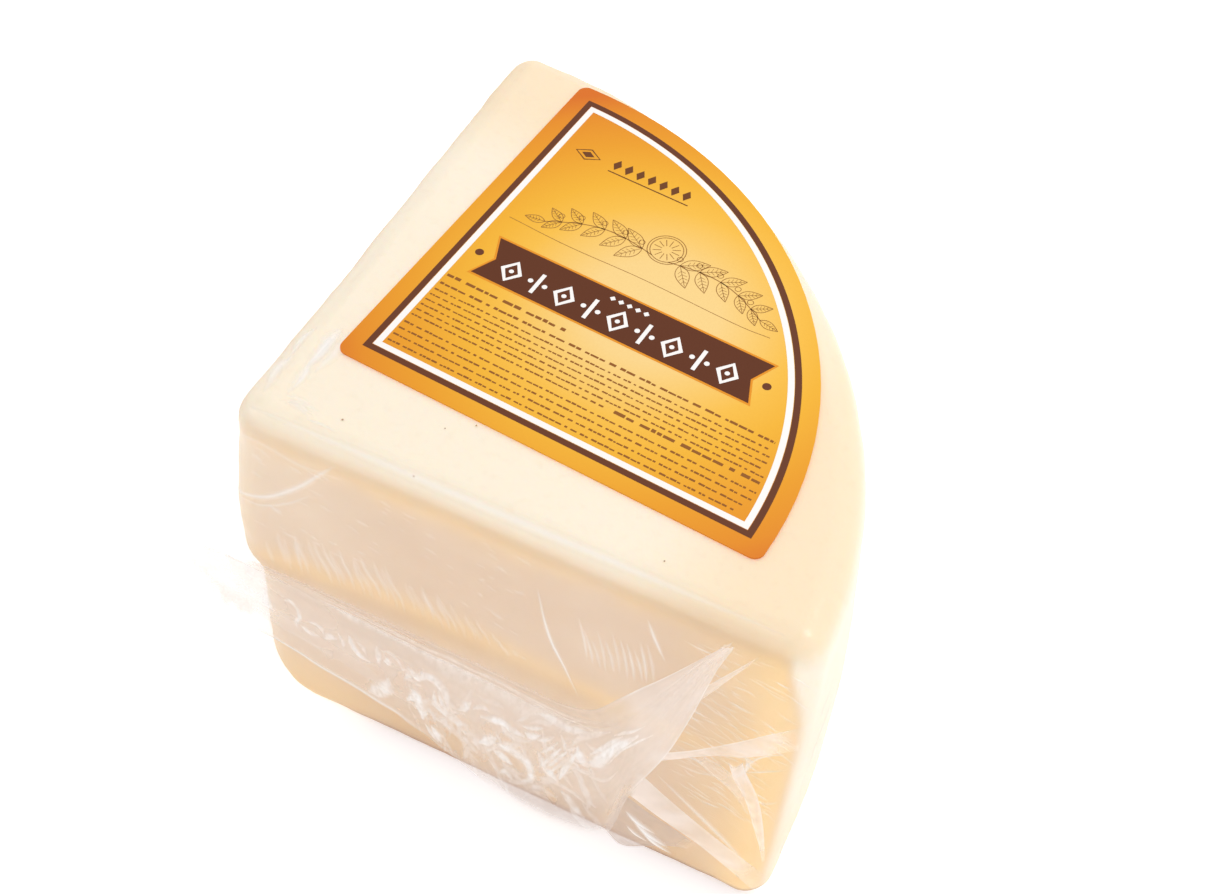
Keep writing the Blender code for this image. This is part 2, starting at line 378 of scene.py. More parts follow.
def wedge_outline():
    """The quarter circle with rounded corners: points and outward directions."""
    corner_x = math.sqrt((RADIUS - CORNER_RADIUS) ** 2 - CORNER_RADIUS ** 2)
    corner_angle = math.atan2(CORNER_RADIUS, corner_x)
    quarter = math.pi / 2
    point = arc((POINT_RADIUS, POINT_RADIUS), POINT_RADIUS, -math.pi, -quarter, CORNER_STEPS)
    right = arc((corner_x, CORNER_RADIUS), CORNER_RADIUS, -quarter, corner_angle, CORNER_STEPS)
    rind = arc((0, 0), RADIUS, corner_angle, quarter - corner_angle, ARC_STEPS)
    left = arc((CORNER_RADIUS, corner_x), CORNER_RADIUS, quarter - corner_angle, math.pi, CORNER_STEPS)
    share = np.linspace(0, 1, FACE_STEPS + 1)[1:-1, None]

    def straight(start, end, normal):
        return start * (1 - share) + end * share, np.tile(normal, (len(share), 1))

    ordered = [
        point, straight(point[0][-1], right[0][0], (0.0, -1.0)), right, (rind[0][1:-1], rind[1][1:-1]),
        left, straight(left[0][-1], point[0][0], (-1.0, 0.0)),
    ]
    return np.vstack([p for p, _ in ordered]), np.vstack([n for _, n in ordered])


def wedge_surface():
    """The wedge's skin as rings from the base's middle to the top's, and each point's outward normal."""
    points, normals = wedge_outline()
    bearing = np.arctan2(points[:, 1], points[:, 0])
    from_cut = np.minimum(bearing, math.pi / 2 - bearing) / RIND_BULGE_RUN
    on_rind = np.where(np.hypot(*points.T) > RADIUS * 0.98, smooth_rise(from_cut), 0)
    along = np.clip(points.max(1) / RADIUS, 0, 1)
    on_face = np.where(points.min(1) < 1e-6, np.sin(math.pi * along) ** 2, 0)

    turn = np.linspace(0, math.pi / 2, EDGE_STEPS + 1)
    rounding = [(EDGE_RADIUS * (1 - math.cos(t)), EDGE_RADIUS * (1 - math.sin(t))) for t in turn]
    wall = np.linspace(EDGE_RADIUS, HEIGHT - EDGE_RADIUS, WALL_STEPS + 1)[1:-1]
    profile = rounding + [(z, 0.0) for z in wall] + [(HEIGHT - z, inset) for z, inset in reversed(rounding)]
    rings = []
    for z, inset in profile:
        swell = math.sin(math.pi * z / HEIGHT)
        out = RIND_BULGE * swell * on_rind - FACE_HOLLOW * swell * on_face - inset
        flat = points + normals * out[:, None]
        rings.append(np.column_stack((flat, np.full(len(flat), z))))

    def cap(ring, steps):
        shrink = np.linspace(1, 0.02, steps + 1)[1:]
        return [np.column_stack((MIDDLE + (ring[:, :2] - MIDDLE) * s, ring[:, 2])) for s in shrink]

    grid = np.array(cap(rings[0], BASE_STEPS)[::-1] + rings + cap(rings[-1], TOP_STEPS))
    padded = np.concatenate((grid[:, -1:], grid, grid[:, :1]), axis=1)
    normal = grid_normals(padded)[:, 1:-1]
    outward = grid - np.array([MIDDLE, MIDDLE, HEIGHT / 2])
    return grid, normal * np.sign((normal * outward).sum(-1, keepdims=True))


def worn(points):
    """Round off the lower end of the point edge, and let the edge bulge where the film pulls in below it."""
    x, y, z = points.T
    swell = POINT_SWELL * rise(z, 99, 65) * rise(z, 44, 56) * bell(x + y, 0, 20)
    loss = 0.30 * np.maximum(17 - x - y * 0.25 - z, 0) * rise(y, 60, 20)
    return points + np.column_stack((loss - swell, -swell, loss))


def wedge_mesh(name, grid, attributes):
    """Close the rings into one mesh."""
    rows, columns = grid.shape[:2]
    faces = [tuple(f) for f in grid_faces(rows, columns, closed=True)]
    faces.append(tuple(range(columns))[::-1])
    faces.append(tuple((rows - 1) * columns + i for i in range(columns)))
    return new_mesh(name, grid.reshape(-1, 3), faces, attributes)


def cheese_zones(points, normals):
    """How far each point belongs to a cut face, how warm its colour is, how far painted shade darkens it, and
    the painted contact shadow at the foot.
    """
    x, y, z = points.T
    out_x, out_y, out_z = normals.T
    front, left = rise(-out_y, 0.35, 0.85), rise(-out_x, 0.35, 0.85)
    either = np.maximum(front, left)
    run = np.where(front > left, x, y)
    # Near the top the pale rind laps further round onto the cut.
    border = RADIUS + 1.0 - 6.5 * rise(z, 66, 106)
    cut = either * rise(z, HEIGHT - 0.2, HEIGHT - 5.2) * rise(border - run, 0, 3)
    # The point's upright edge and the face's upper left are paler.
    cut *= 1 - 0.6 * bell(run, 0, 6) - 0.22 * rise(run, 45, 10) * rise(z, 55, 75)

    wander = fractal(points, 12.0, 5) * 1.6
    bands = (
        0.8 * bell(HEIGHT - z + wander, 0, 7),      # under the top edge
        bell(border - run + wander, 6, 14),         # beside the rind
        0.7 * bell(run + wander, 0, 5),             # along the point's edge
        # The band over the seam is painted shade, where the fin would shade the face.
        0.6 * bell(z + wander, 56, 5) * front,      # over the seam
        0.6 * rise(z - wander, 30, 8),              # towards the foot
    )
    corner = 0.4 * rise(np.maximum(x, y), 82, 110) * rise(out_z, 0.3, 0.8) + 0.3 * rise(z, 50, 15) * (1 - cut)
    warm = np.max(bands, axis=0) * cut + corner

    # Painted shade: darker low on the cut faces, in a band along the seam, on the rind's sides below the top
    # and on the front's right part.
    painted_shade = np.clip(rise(z, 9, 1) + 0.5 * rise(z, 28, 16), 0, 1) * either
    painted_shade *= rise(run, 12, 42) * rise(run, 118, 93)
    painted_shade += 0.35 * bell(z, 53, 3.5) * front * rise(x, 95, 80)
    painted_shade += 0.22 * rise(z, 98, 68) * (1 - cut) * rise(out_z, 0.5, -0.5)
    painted_shade += 0.22 * rise(x, 85, 105) * rise(x, 121, 113) * front
    # Painted contact shadow along the bottom edge, where the cheese meets the table.
    foot = rise(z, 6.2, 3.0) * rise(run, 14, 34)
    return {"cut": cut, "warm": np.clip(warm, 0, 1), "painted_shade": np.clip(painted_shade, 0, 1), "foot": foot}


def on_top(points):
    """Which points lie on the flat top."""
    return points[:, 2] > HEIGHT - 0.01


def make_cheese():
    """The cheese itself, a little inside the film, with worn edges and a faintly uneven skin."""
    grid, normal = wedge_surface()
    points, normals = grid.reshape(-1, 3), normal.reshape(-1, 3)
    inset = 0.45 + 0.25 * fractal(points, 22.0, 11) + 0.12 * fractal(points, 5.0, 17)
    inset = np.where(on_top(points), -0.05, np.maximum(inset, 0.15))
    moved = points - normals * inset[:, None]
    moved[:, 2] = np.maximum(moved[:, 2], 0.0)
    obj = wedge_mesh("cheese_body", worn(moved).reshape(grid.shape), cheese_zones(points, normals))
    return place(obj, cheese_material(), "cheese", "cheese")


def make_skin(material):
    """The skin-tight film, with shallow puckers."""
    grid, normal = wedge_surface()
    points, normals = grid.reshape(-1, 3), normal.reshape(-1, 3)
    lift = 0.10 + 0.10 * fractal(points * (1, 1, 0.45), 6.0, 31) + 0.05 * fractal(points, 2.2, 37)
    lift = np.where(points[:, 2] < 0.5, 0.0, np.maximum(lift, 0.0))
    # The flat top is drawn up to the label's underside.
    lift = np.where(on_top(points), 0.24, lift)
    moved = points + normals * lift[:, None]
    haze = 0.03 + 0.05 * smooth_rise(fractal(points, 16.0, 41))
    obj = wedge_mesh("film_skin", worn(moved).reshape(grid.shape), {"haze": haze})
    return place(obj, material, "clear_film")


# ---- fine wrinkles of the tight film

def front_point(x, z):
    """A point on the front face and the direction off it."""
    share_x, share_z = np.clip(x / RADIUS, 0, 1), np.clip(z / HEIGHT, 0, 1)
    hollow = FACE_HOLLOW * math.sin(math.pi * share_z) * math.sin(math.pi * share_x) ** 2
    return np.array([x, hollow - 0.15, z]), np.array([0.0, -1.0, 0.0])


def rind_point(angle, z):
    """A point on the rind at a bearing in degrees, and the direction off it."""
    radians = math.radians(angle)
    rise = smooth_rise(min(radians, math.pi / 2 - radians) / RIND_BULGE_RUN)
    reach = RADIUS + RIND_BULGE * math.sin(math.pi * z / HEIGHT) * rise + 0.1
    out = np.array([math.cos(radians), math.sin(radians), 0.0])
    return out * reach + (0, 0, z), out


def top_point(x, y):
    """A point on the flat top and the direction off it."""
    return np.array([x, y, HEIGHT + 0.26]), np.array([0.0, 0.0, 1.0])


def crest_point(x, _):
    """A point on the crest of the top's front edge and the direction off it."""
    turn = math.radians(22)
    off = np.array([0.0, -math.sin(turn), math.cos(turn)])
    return np.array([x, EDGE_RADIUS, HEIGHT - EDGE_RADIUS]) + off * (EDGE_RADIUS + 0.3), off


class Strips:
    """Narrow raised wrinkles laid on the film and joined in one mesh; white is the share drawn as a painted
    glint, a white glow, and the rest is milky haze.
    """

    ACROSS = (-1.0, -0.6, -0.3, 0.0, 0.3, 0.6, 1.0)
    LIFT = (-0.12, 0.3, 0.75, 1.0, 0.75, 0.3, -0.12)
    HAZE = (0.0, 0.18, 0.65, 1.0, 0.65, 0.18, 0.0)

    def __init__(self, white):
        self.white = white
        self.points, self.faces, self.haze = [], [], []

    def add(self, surface, stations, width, height, haze, count=24):
        """One wrinkle along a smooth curve in the surface's own coordinates; it tapers to both ends."""
        spots = [surface(*p) for p in smooth_path(stations, count)]
        line = np.array([p for p, _ in spots])
        off = np.array([n for _, n in spots])
        side = np.cross(off, np.gradient(line, axis=0))
        side /= np.maximum(np.linalg.norm(side, axis=1, keepdims=True), 1e-9)
        taper = np.sin(np.linspace(0.02, 0.98, count) * math.pi) ** 0.7
        start = len(self.points)
        for spot, beside, above, full in zip(line, side, off, taper):
            for across, lift, milk in zip(self.ACROSS, self.LIFT, self.HAZE):
                self.points.append(spot + beside * across * width / 2 * full + above * lift * height * full)
                self.haze.append(milk * haze * full)
        self.faces.extend(map(tuple, grid_faces(count, len(self.ACROSS), start)))

    def build(self, name, material):
        """The joined mesh."""
        milk = np.array(self.haze)
        values = {"haze": milk * (1 - self.white), "glint": milk * self.white}
        return place(new_mesh(name, worn(np.array(self.points)), self.faces, values), material, "clear_film")


def make_wrinkles(material):
    """Wrinkles of the tight film, drawn mostly as painted glints: a fan above the seam, long creases, and fine
    ones at the corner.
    """
    rng = random.Random(8)
    strips = Strips(0.8)
    front, top = partial(strips.add, front_point), partial(strips.add, top_point)
    # The long creases.
    front([(3.7, 80), (5.1, 77.4), (10.7, 79.2), (17.2, 85.9), (22.3, 92.9), (26, 98)], 2.2, 0.03, 0.62)
    front([(3.2, 76), (9, 75.6), (15, 79.5), (20, 85)], 1.2, 0.02, 0.26)
    front([(2.5, 95.5), (10, 95), (18, 93.4), (27, 94.2)], 1.6, 0.02, 0.20)
    front([(69.9, 86), (71.6, 76), (73.4, 69), (76.4, 62.1), (79.9, 53.3)], 1.5, 0.05, 0.85)
    front([(93, 92), (94.9, 86.5), (97.4, 80.7)], 1.5, 0.04, 0.70)
    # The fan of fine curved wrinkles that rises from the seam and leans left, and one beside the sail.
    fan_x, fan_top = (12, 17, 28, 40, 50, 60, 69), (68, 73, 71, 71, 69, 67, 62)
    for i in range(30):
        x = 11 + i * 1.95 + rng.uniform(-0.6, 0.6)
        high = np.interp(x, fan_x, fan_top) - rng.uniform(0, 4)
        low = 56.0 + rng.uniform(-0.5, 2.5)
        lean = (0.10 * x + rng.uniform(-1.2, 1.2)) * (high - low) / 15
        path = [(x - lean, high), (x - lean * 0.75, (2 * high + low) / 3),
                (x - lean * 0.2, (high + 2 * low) / 3), (x, low)]
        front(path, rng.uniform(1.3, 2.2), 0.02, rng.uniform(0.10, 0.30), 14)
    for i in range(11):
        x = 81 + i * 1.5 + rng.uniform(-0.3, 0.3)
        low = 67.5 + rng.uniform(-0.5, 2.0) + max(0, i - 6) * 0.7
        high = min(low + rng.uniform(9, 14), 84)
        path = [(x - 2.4, high), (x - 0.9, (low + high) / 2), (x, low)]
        front(path, rng.uniform(0.9, 1.3), 0.02, rng.uniform(0.22, 0.5), 12)
    # Short slanting ones near the right edge, and shorter ones on the face's upper left.
    for i in range(170):
        x, z, run = rng.uniform(103, 124), rng.uniform(34, 95), rng.uniform(2.0, 7)
        slant = run * rng.uniform(-0.6, 0.15)
        path = [(x - run / 2, z - slant / 2), (x, z + rng.uniform(-0.5, 0.5)), (x + run / 2, z + slant / 2)]
        front(path, rng.uniform(0.5, 0.9), 0.02, rng.uniform(0.15, 0.42), 8)
    for i in range(60):
        x, z, run = rng.uniform(6, 66), rng.uniform(66, 94), rng.uniform(1.0, 3.5)
        path = [(x, z), (x + run / 2, z - run * 0.12), (x + run, z - run * rng.uniform(0.1, 0.5))]
        front(path, rng.uniform(0.6, 1.6), 0.02, rng.uniform(0.08, 0.24), 7)
    # Faint upright tucks all round the rind.
    for i in range(110):
        angle, z, length = rng.uniform(3, 87), rng.uniform(8, 80), rng.uniform(6, 22)
        path = [(angle, z), (angle + rng.uniform(-2, 2), z + length / 2),
                (angle + rng.uniform(-3, 3), min(z + length, 94))]
        strips.add(rind_point, path, rng.uniform(0.4, 1.0), rng.uniform(0.1, 0.3), rng.uniform(0.05, 0.22), 9)
    # A painted highlight along the crest of the top's front edge.
    strips.add(crest_point, [(5, 0), (40, 0), (80, 0), (118, 0)], 3.0, 0.02, 0.5, 60)
    # The point of the top: tucks with painted glints that run with the left edge, and some along the front
    # edge.
    for i in range(12):
        x, y, run = rng.uniform(4.5, 12), rng.uniform(6, 22), rng.uniform(7, 13)
        path = [(x, y), (x + rng.uniform(-0.8, 0.8), y + run / 2), (x + rng.uniform(-1, 1), y + run)]
        top(path, rng.uniform(1.2, 4.5), 0.02, rng.uniform(0.3, 0.75), 9)
    for i in range(6):
        x, y = rng.uniform(5, 18), rng.uniform(4.5, 9)
        path = [(x, y), (x + 3, y + rng.uniform(-0.8, 0.8)), (x + 7, y + rng.uniform(-1, 1))]
        top(path, rng.uniform(0.9, 1.8), 0.02, rng.uniform(0.2, 0.45), 9)
    return strips.build("film_wrinkles", material)


# ---- the seam fin and the loose folds

SEAM_STATIONS = (
    ((-17, 44), (-17, -2.0, 47.0), (-16, -3.0, 33)),
    ((-8, 48), (-7, -3.0, 52.0), (-6, -4.5, 33)),
    ((4, 51.5), (7, -4.5, 54.5), (7.5, -7.0, 36)),
    ((26, 51.8), (28, -5.0, 54), (30, -8.5, 34)),
    ((43, 51.3), (45, -5.5, 53.5), (45, -10.0, 32)),
    ((57, 51), (60, -5.5, 53), (57, -11.0, 28)),
    ((69, 50.3), (72, -6.0, 53), (70, -12.0, 23.5)),
    ((78, 50.5), (81, -6.5, 54), (82, -13.0, 24.5)),
    ((84, 53.5), (87.5, -6.5, 56.5), (93.5, -12.5, 28.5)),
    ((89, 61.4), (92, -5.0, 60), (97.5, -10.5, 46)),
    ((93.5, 69), (96.4, -3.6, 67.8), (103, -7.5, 62)),
    ((98, 76.3), (100.4, -2.8, 76.6), (106.3, -5.0, 77)),
    ((103, 85), (104.6, -1.8, 86.4), (108.5, -3.0, 89.5)),
    ((107.8, 93.6), (108.6, -1.0, 95), (110.4, -1.6, 97.5)),
)
RIDGE_SHARE = 0.26   # where the ridge lies between the fin's root and its free edge
FIN_WIDTH = 27.0
SAIL_START = 111.0   # length along the fin where it turns up into the sail


def seam_lines(rows):
    """The fin's root, ridge and free edge."""
    root = np.array([(x, -0.55, z) for (x, z), _, _ in SEAM_STATIONS], float)
    ridge = np.array([r for _, r, _ in SEAM_STATIONS], float)
    edge = np.array([e for _, _, e in SEAM_STATIONS], float)
    return [smooth_path(line, rows) for line in (root, ridge, edge)]


# The fin's creases: breadth in mm, brightness of the painted glint, and a line of (u, v) in mm, where u runs
# along the ridge from the fin's left end and v from its root to its free edge. Negative brightness clears the
# film.
FIN_CREASES = (
    # The sealed bands along the ridge.
    (2.2, 0.45, ((29, 5.2), (40, 6.0), (50, 6.5), (60, 6.4), (72, 6.6), (84, 6.8), (95, 6.2))),
    (1.6, 0.30, ((30, 2.6), (45, 3.4), (62, 3.6), (78, 3.4), (90, 3.6), (98, 4.2), (104, 5.0))),
    (0.8, 0.60, ((88, 4.4), (94, 5.2), (99, 6.2), (105, 7.6))),
    (1.0, 0.75, ((92, 8.2), (97, 8.2), (101, 8.4), (105, 8.0))),
    (4.0, 0.30, ((62, 6.5), (75, 7.4), (90, 7.2), (100, 6.6))),
    # The ragged left end.
    (2.4, 0.55, ((21, 7), (23, 8), (24, 9.6))), (2.6, 0.5, ((17, 13), (21.5, 13.5), (24, 14.6))),
    (2.0, 0.85, ((26.8, 12), (27.4, 14.5), (29, 17))),
    # Curls just under the seal.
    (1.0, 0.70, ((32, 11.6), (33.6, 10.6), (35.4, 11.4), (36, 13.6), (35, 16), (35, 17.4))),
    (1.2, 0.80, ((36.4, 16.2), (38, 16.8), (40, 16.4))),
    (1.2, 0.60, ((38, 13.6), (40, 13.2), (41, 14.8))),
    (1.6, 0.55, ((41.5, 16), (42.6, 14.8), (44, 14.6))),
    (1.0, 0.45, ((44.6, 12.6), (46, 14.4), (46, 16))),
    (1.5, 0.75, ((47.6, 11.4), (48.4, 13.2), (50.6, 15.4), (52.6, 16))),
    (0.9, 0.45, ((49.5, 12), (51, 12.6), (52, 14))),
    (1.3, 0.70, ((54.8, 10.6), (55, 12.6), (55, 14.8))),
    (0.8, 0.45, ((56, 11), (58.5, 10.6), (60.5, 11.6), (61.4, 13.6))),
    (1.8, 0.90, ((56.8, 13.8), (58.4, 13.4))),
    (3.2, 0.70, ((57.8, 18.4), (56.6, 21), (54.4, 23.4), (52.4, 25))),
    (2.6, 0.5, ((58, 18), (58.4, 21.6))),
    # Broad folds in the middle.
    (1.7, 0.75, ((61.4, 13.8), (63.6, 12.6), (65.4, 13.6), (67.4, 11.8), (70, 11.4), (72.4, 12.8),
                (74.2, 15), (75, 17))),
    (1.4, 0.60, ((62, 16), (63.4, 14.2), (63.2, 12))),
    (3.4, 0.98, ((63.8, 20.4), (66, 18.6), (67.6, 20.4), (68.4, 23))),
    (2.2, 0.95, ((65, 18), (67.6, 18.4))),
    (1.5, 0.70, ((70.4, 14), (71.2, 16.6), (73.4, 17.8), (76.4, 18), (79, 16.8))),
    (1.3, 0.70, ((71.4, 13.4), (72.6, 15.4), (75.2, 17.6), (77.6, 18.4), (79.4, 19.6))),
    (1.6, 0.95, ((76.6, 14.6), (77.4, 13.6), (78.4, 12.2))),
    (0.9, 0.6, ((79.4, 13.2), (81, 12.2), (82.6, 12.4))),
    (2.0, 0.95, ((71.4, 23.4), (72.8, 24.6), (74.6, 26))),
    (1.3, 0.7, ((69.4, 24.6), (71.4, 25.6), (73.6, 26.4))),
    (1.6, 0.45, ((72, 19.6), (75, 20.6), (79, 21), (83, 22))),
    (2.4, 0.45, ((78.4, 17.4), (80.4, 18.8), (83, 20.6))),
    # The curved ribbon and what lies round it.
    (1.1, 0.95, ((81.4, 14), (84, 13.4), (86.6, 12.4), (88.8, 12.8), (91.4, 13))),
    (2.3, 0.95, ((85.6, 16), (84.4, 17.2), (82.6, 19.2))),
    (1.8, 0.85, ((84.8, 19.6), (86.4, 17.6), (89.4, 16.4), (92.4, 17), (94.2, 18.6), (94, 20.6),
                (92.8, 21.6))),
    (1.4, 0.98, ((86, 19), (88, 18.8), (90.2, 19.2))),
    (1.0, 0.6, ((88.4, 22.6), (89.6, 21.4), (91.6, 22.4))),
    (1.2, 0.90, ((91.4, 12.2), (93, 12.4), (94.6, 11.6))),
    (0.8, 0.8, ((90.6, 11), (92.6, 10.8), (94.6, 10.2))),
    (0.8, 0.7, ((94.4, 12.6), (96, 12), (97.4, 10.8))),
    (0.8, 0.8, ((95.8, 17), (97.4, 15), (99.4, 12.2))),
    (0.8, 0.85, ((96.8, 17), (98.6, 15), (100.8, 12))),
    (0.7, 0.7, ((97.6, 18), (99.4, 15.6), (101.4, 12.6))),
    (0.7, 0.75, ((95.6, 14.4), (97, 13.4), (98.4, 11.6))),
    (0.6, 0.6, ((99.6, 10.8), (100.8, 11.4), (102.6, 10.4))),
    (1.3, 0.90, ((100.2, 18), (101, 15), (102.6, 11.4))),
    (1.3, 0.80, ((95.2, 14.6), (97, 16.6), (99.8, 18.6))),
    (1.2, 0.60, ((100.8, 20.4), (102, 22), (103.8, 23.8))),
    (1.0, 0.45, ((94, 22), (97, 21), (100, 21.6))),
    # Painted glints streaking across the foot of the sail.
    (3.0, 0.98, ((104, 13.4), (106.4, 12.7), (109.4, 11.5), (113, 11.8), (116.4, 12.8))),
    (1.4, 0.90, ((102.8, 10.4), (103.4, 12), (104.4, 13.6))),
    (1.0, 0.8, ((105, 11), (109, 9.8), (113, 9.8))),
    (0.8, 0.7, ((108, 14), (112, 13.4), (116, 14.6), (120, 17))),
    (0.7, 0.6, ((110, 8.6), (114, 9.4), (119, 12))),
    # Openings through which the cheese shows, and gaps over the table.
    (1.6, -0.5, ((97.6, 20.4), (98.8, 21.4), (99.6, 23.4))),
    (4.4, -0.45, ((75.4, 22), (77.6, 23.2), (80, 25.4))), (2.6, -0.35, ((70, 21.4), (72, 21.6))),
    (2.0, -0.30, ((82.6, 15.6), (84.2, 15.2))), (3.0, -0.35, ((87, 14.6), (89, 14.8))),
    (2.2, -0.40, ((88.6, 18), (91, 18.4), (92.2, 19.6))), (2.6, -0.35, ((95.4, 18.4), (96, 19.4))),
    (2.8, -0.35, ((98, 15.4), (99, 16.8))), (3.0, -0.25, ((60.4, 15.6), (61.4, 18))),
    (3.0, -0.2, ((52, 18), (56, 17))),
)


def fine_creases(seed):
    """Fine random creases for the fin's crumpled right half, as in FIN_CREASES."""
    rng = random.Random(seed)
    lines = []
    for _ in range(70):
        u, v = 60 + 46 * rng.random() ** 0.8, rng.uniform(9, 24)
        heading, run = rng.choice((0.7, 0.7, -0.6)) + rng.uniform(-0.4, 0.4), rng.uniform(1.2, 3.2)
        line = [(u, v)]
        for _ in range(3):
            heading += rng.uniform(-0.5, 0.5)
            line.append((line[-1][0] + run * math.cos(heading), line[-1][1] + run * math.sin(heading)))
        lines.append((rng.uniform(0.5, 1.1), rng.uniform(0.15, 0.5), tuple(line)))
    return tuple(lines)


def drawn(flat, lines):
    """How bright the creases make each point, and how far they clear it: soft lines with thin ends."""
    bright, cleared = np.zeros(len(flat)), np.zeros(len(flat))
    for breadth, glow, stations in lines:
        line = smooth_path(stations, 14 * len(stations))
        low, high = line.min(0) - 2 * breadth, line.max(0) + 2 * breadth
        near = np.flatnonzero(((flat > low) & (flat < high)).all(1))
        away = np.sqrt(((flat[near, None] - line[None]) ** 2).sum(-1))
        end = np.minimum(away.argmin(1), len(line) - 1 - away.argmin(1)) / len(line)
        taper = 0.35 + 0.65 * rise(end, 0, 0.3)
        soft = abs(glow) * np.exp(-(away.min(1) / (0.52 * breadth * taper)) ** 4) * (0.6 + 0.4 * taper)
        side = bright if glow > 0 else cleared
        side[near] = np.maximum(side[near], soft)
    return bright, cleared


def seam_grid(seed, reach, crumple, rows, columns):
    """One sheet of the fin, as a grid of points with its haze, painted glints and painted shade."""
    root, ridge, edge = seam_lines(rows)
    edge = ridge + (edge - ridge) * reach
    share = np.linspace(0, 1, columns)
    grid = np.empty((rows, columns, 3))
    for k, t in enumerate(share):
        climb = min(t / RIDGE_SHARE, 1.0)
        fall = max(0.0, (t - RIDGE_SHARE) / (1 - RIDGE_SHARE))
        grid[:, k] = root + (ridge - root) * climb + (edge - ridge) * fall
        grid[:, k, 1] += 0.9 * bell(t, RIDGE_SHARE, 0.07)    # the ridge is round
    normal = grid_normals(grid)
    normal *= np.where(normal[..., 1:2] > 0, -1, 1)
    length = np.cumsum(np.linalg.norm(np.diff(ridge, axis=0, prepend=ridge[:1]), axis=1))
    u = np.repeat(length[:, None], columns, 1)
    v = np.repeat(share[None] * FIN_WIDTH, rows, 0)
    flat = np.column_stack((u.ravel(), v.ravel()))
    long = flat * (0.5, 1.0)

    def shaped(values):
        return values.reshape(rows, columns)

    def noise(where, cell, number, octaves=3):
        return shaped(fractal(where, cell, seed + number, octaves))

    # The fin's regions.
    below = rise(v, 8, 11)
    right = rise(u, 58, 70)
    tip = rise(u, 30, 20)
    sail = rise(u, SAIL_START, SAIL_START + 8)
    rim = bell(v, FIN_WIDTH - 0.3, 0.6)

    # Its crumples.
    wobble = np.column_stack((fractal(flat, 6.0, seed + 3, 2), fractal(flat, 6.0, seed + 4, 2))) * 0.5
    bright, cleared = map(shaped, drawn(flat + wobble, FIN_CREASES + fine_creases(seed)))
    ragged = noise(flat, 5.0, 5)
    push = 0.22 * bright * (1 - sail) * below + 0.2 * ragged * tip
    push += noise(long, 5.0, 14, 2) * (0.06 + 0.30 * below + 0.15 * right * below)
    grid += normal * (crumple * push * rise(v, 1.5, 6.5))[..., None]
    grid[..., 1] = np.minimum(grid[..., 1], -0.5)

    # Its milkiness. Over the table the lower right part reads as a grey veil, from painted shade, that fades to
    # nothing.
    cloud, small = noise(long, 6.0, 21), noise(flat, 1.8, 22, 2)
    streak = noise(flat * (0.05, 1.0), 2.6, 33, 2)
    over_floor = rise(u, 84, 92) * rise(u, 110, 104) * rise(v, 18.5, 21.5)
    fade = rise(u, 82, 90) * rise(u, 110, 106) * rise(v, 24.4, 26.8)
    haze = 0.34 + 0.10 * cloud + 0.06 * streak * (1 - right) + 0.06 * small * right * below
    haze += 0.20 * over_floor + 0.22 * bell(v, 0.5, 0.8) + 0.25 * rim * (1 - right)
    haze = (haze - cleared) * (1 - 0.95 * fade)
    torn = rise(v - 2.5 * ragged, 0.5, 4.5) * rise(v - 4 * ragged, FIN_WIDTH - 1, FIN_WIDTH - 6)
    torn *= (0.42 + 0.35 * ragged) * rise(u + 4 * ragged, 2, 18)
    haze = haze * (1 - tip) + torn * tip
    haze = haze * (1 - sail) + (0.62 + 0.05 * cloud + 0.03 * streak) * sail

    # Its painted glints, glowing white along the creases, the rim and the sail's two edges.
    dimmed = 0.30 * rise(small, 0.5, -0.5) + 0.30 * rise(noise(flat, 0.9, 50, 2), 0.4, -0.6)
    glint = bright * (1 - dimmed) + 0.45 * rim * rise(u, 26, 32) * (1 - right)
    glint += sail * 0.55 * (bell(v, FIN_WIDTH, 0.5) + 0.8 * bell(v, 0, 0.5))
    shade = 0.12 + 0.28 * (1 - sail) + 0.5 * over_floor - 0.4 * tip
    return grid, {"haze": np.clip(haze, 0.02, 0.92), "glint": np.clip(0.92 * glint, 0, 0.95),
                  "shade": np.clip(shade, 0, 1)}


def film_sheet(name, grid, values, material, *nodes):
    """A sheet of loose film from a grid of points, with attribute values for each point."""
    values = {key: value.ravel() for key, value in values.items()}
    obj = new_mesh(name, grid.reshape(-1, 3), grid_faces(*grid.shape[:2]), values)
    return place(obj, material, "clear_film", *nodes)


def make_seam(material):
    """The fin: a creased front sheet for the CAD fin, and a narrower sheet behind it, from the ridge down."""
    front, values = seam_grid(3, 1.0, 1.0, 760, 120)
    film_sheet("film_fin_front", front, values, material, "film_seam")
    above_ridge = 8
    back, values = seam_grid(57, 0.84, 0.9, 300, 44)
    back[..., 1] = np.minimum(back[..., 1] + 1.4, -0.36)
    thin = {"haze": values["haze"][:, above_ridge:] * 0.25}
    film_sheet("film_fin_back", back[:, above_ridge:], thin, material)


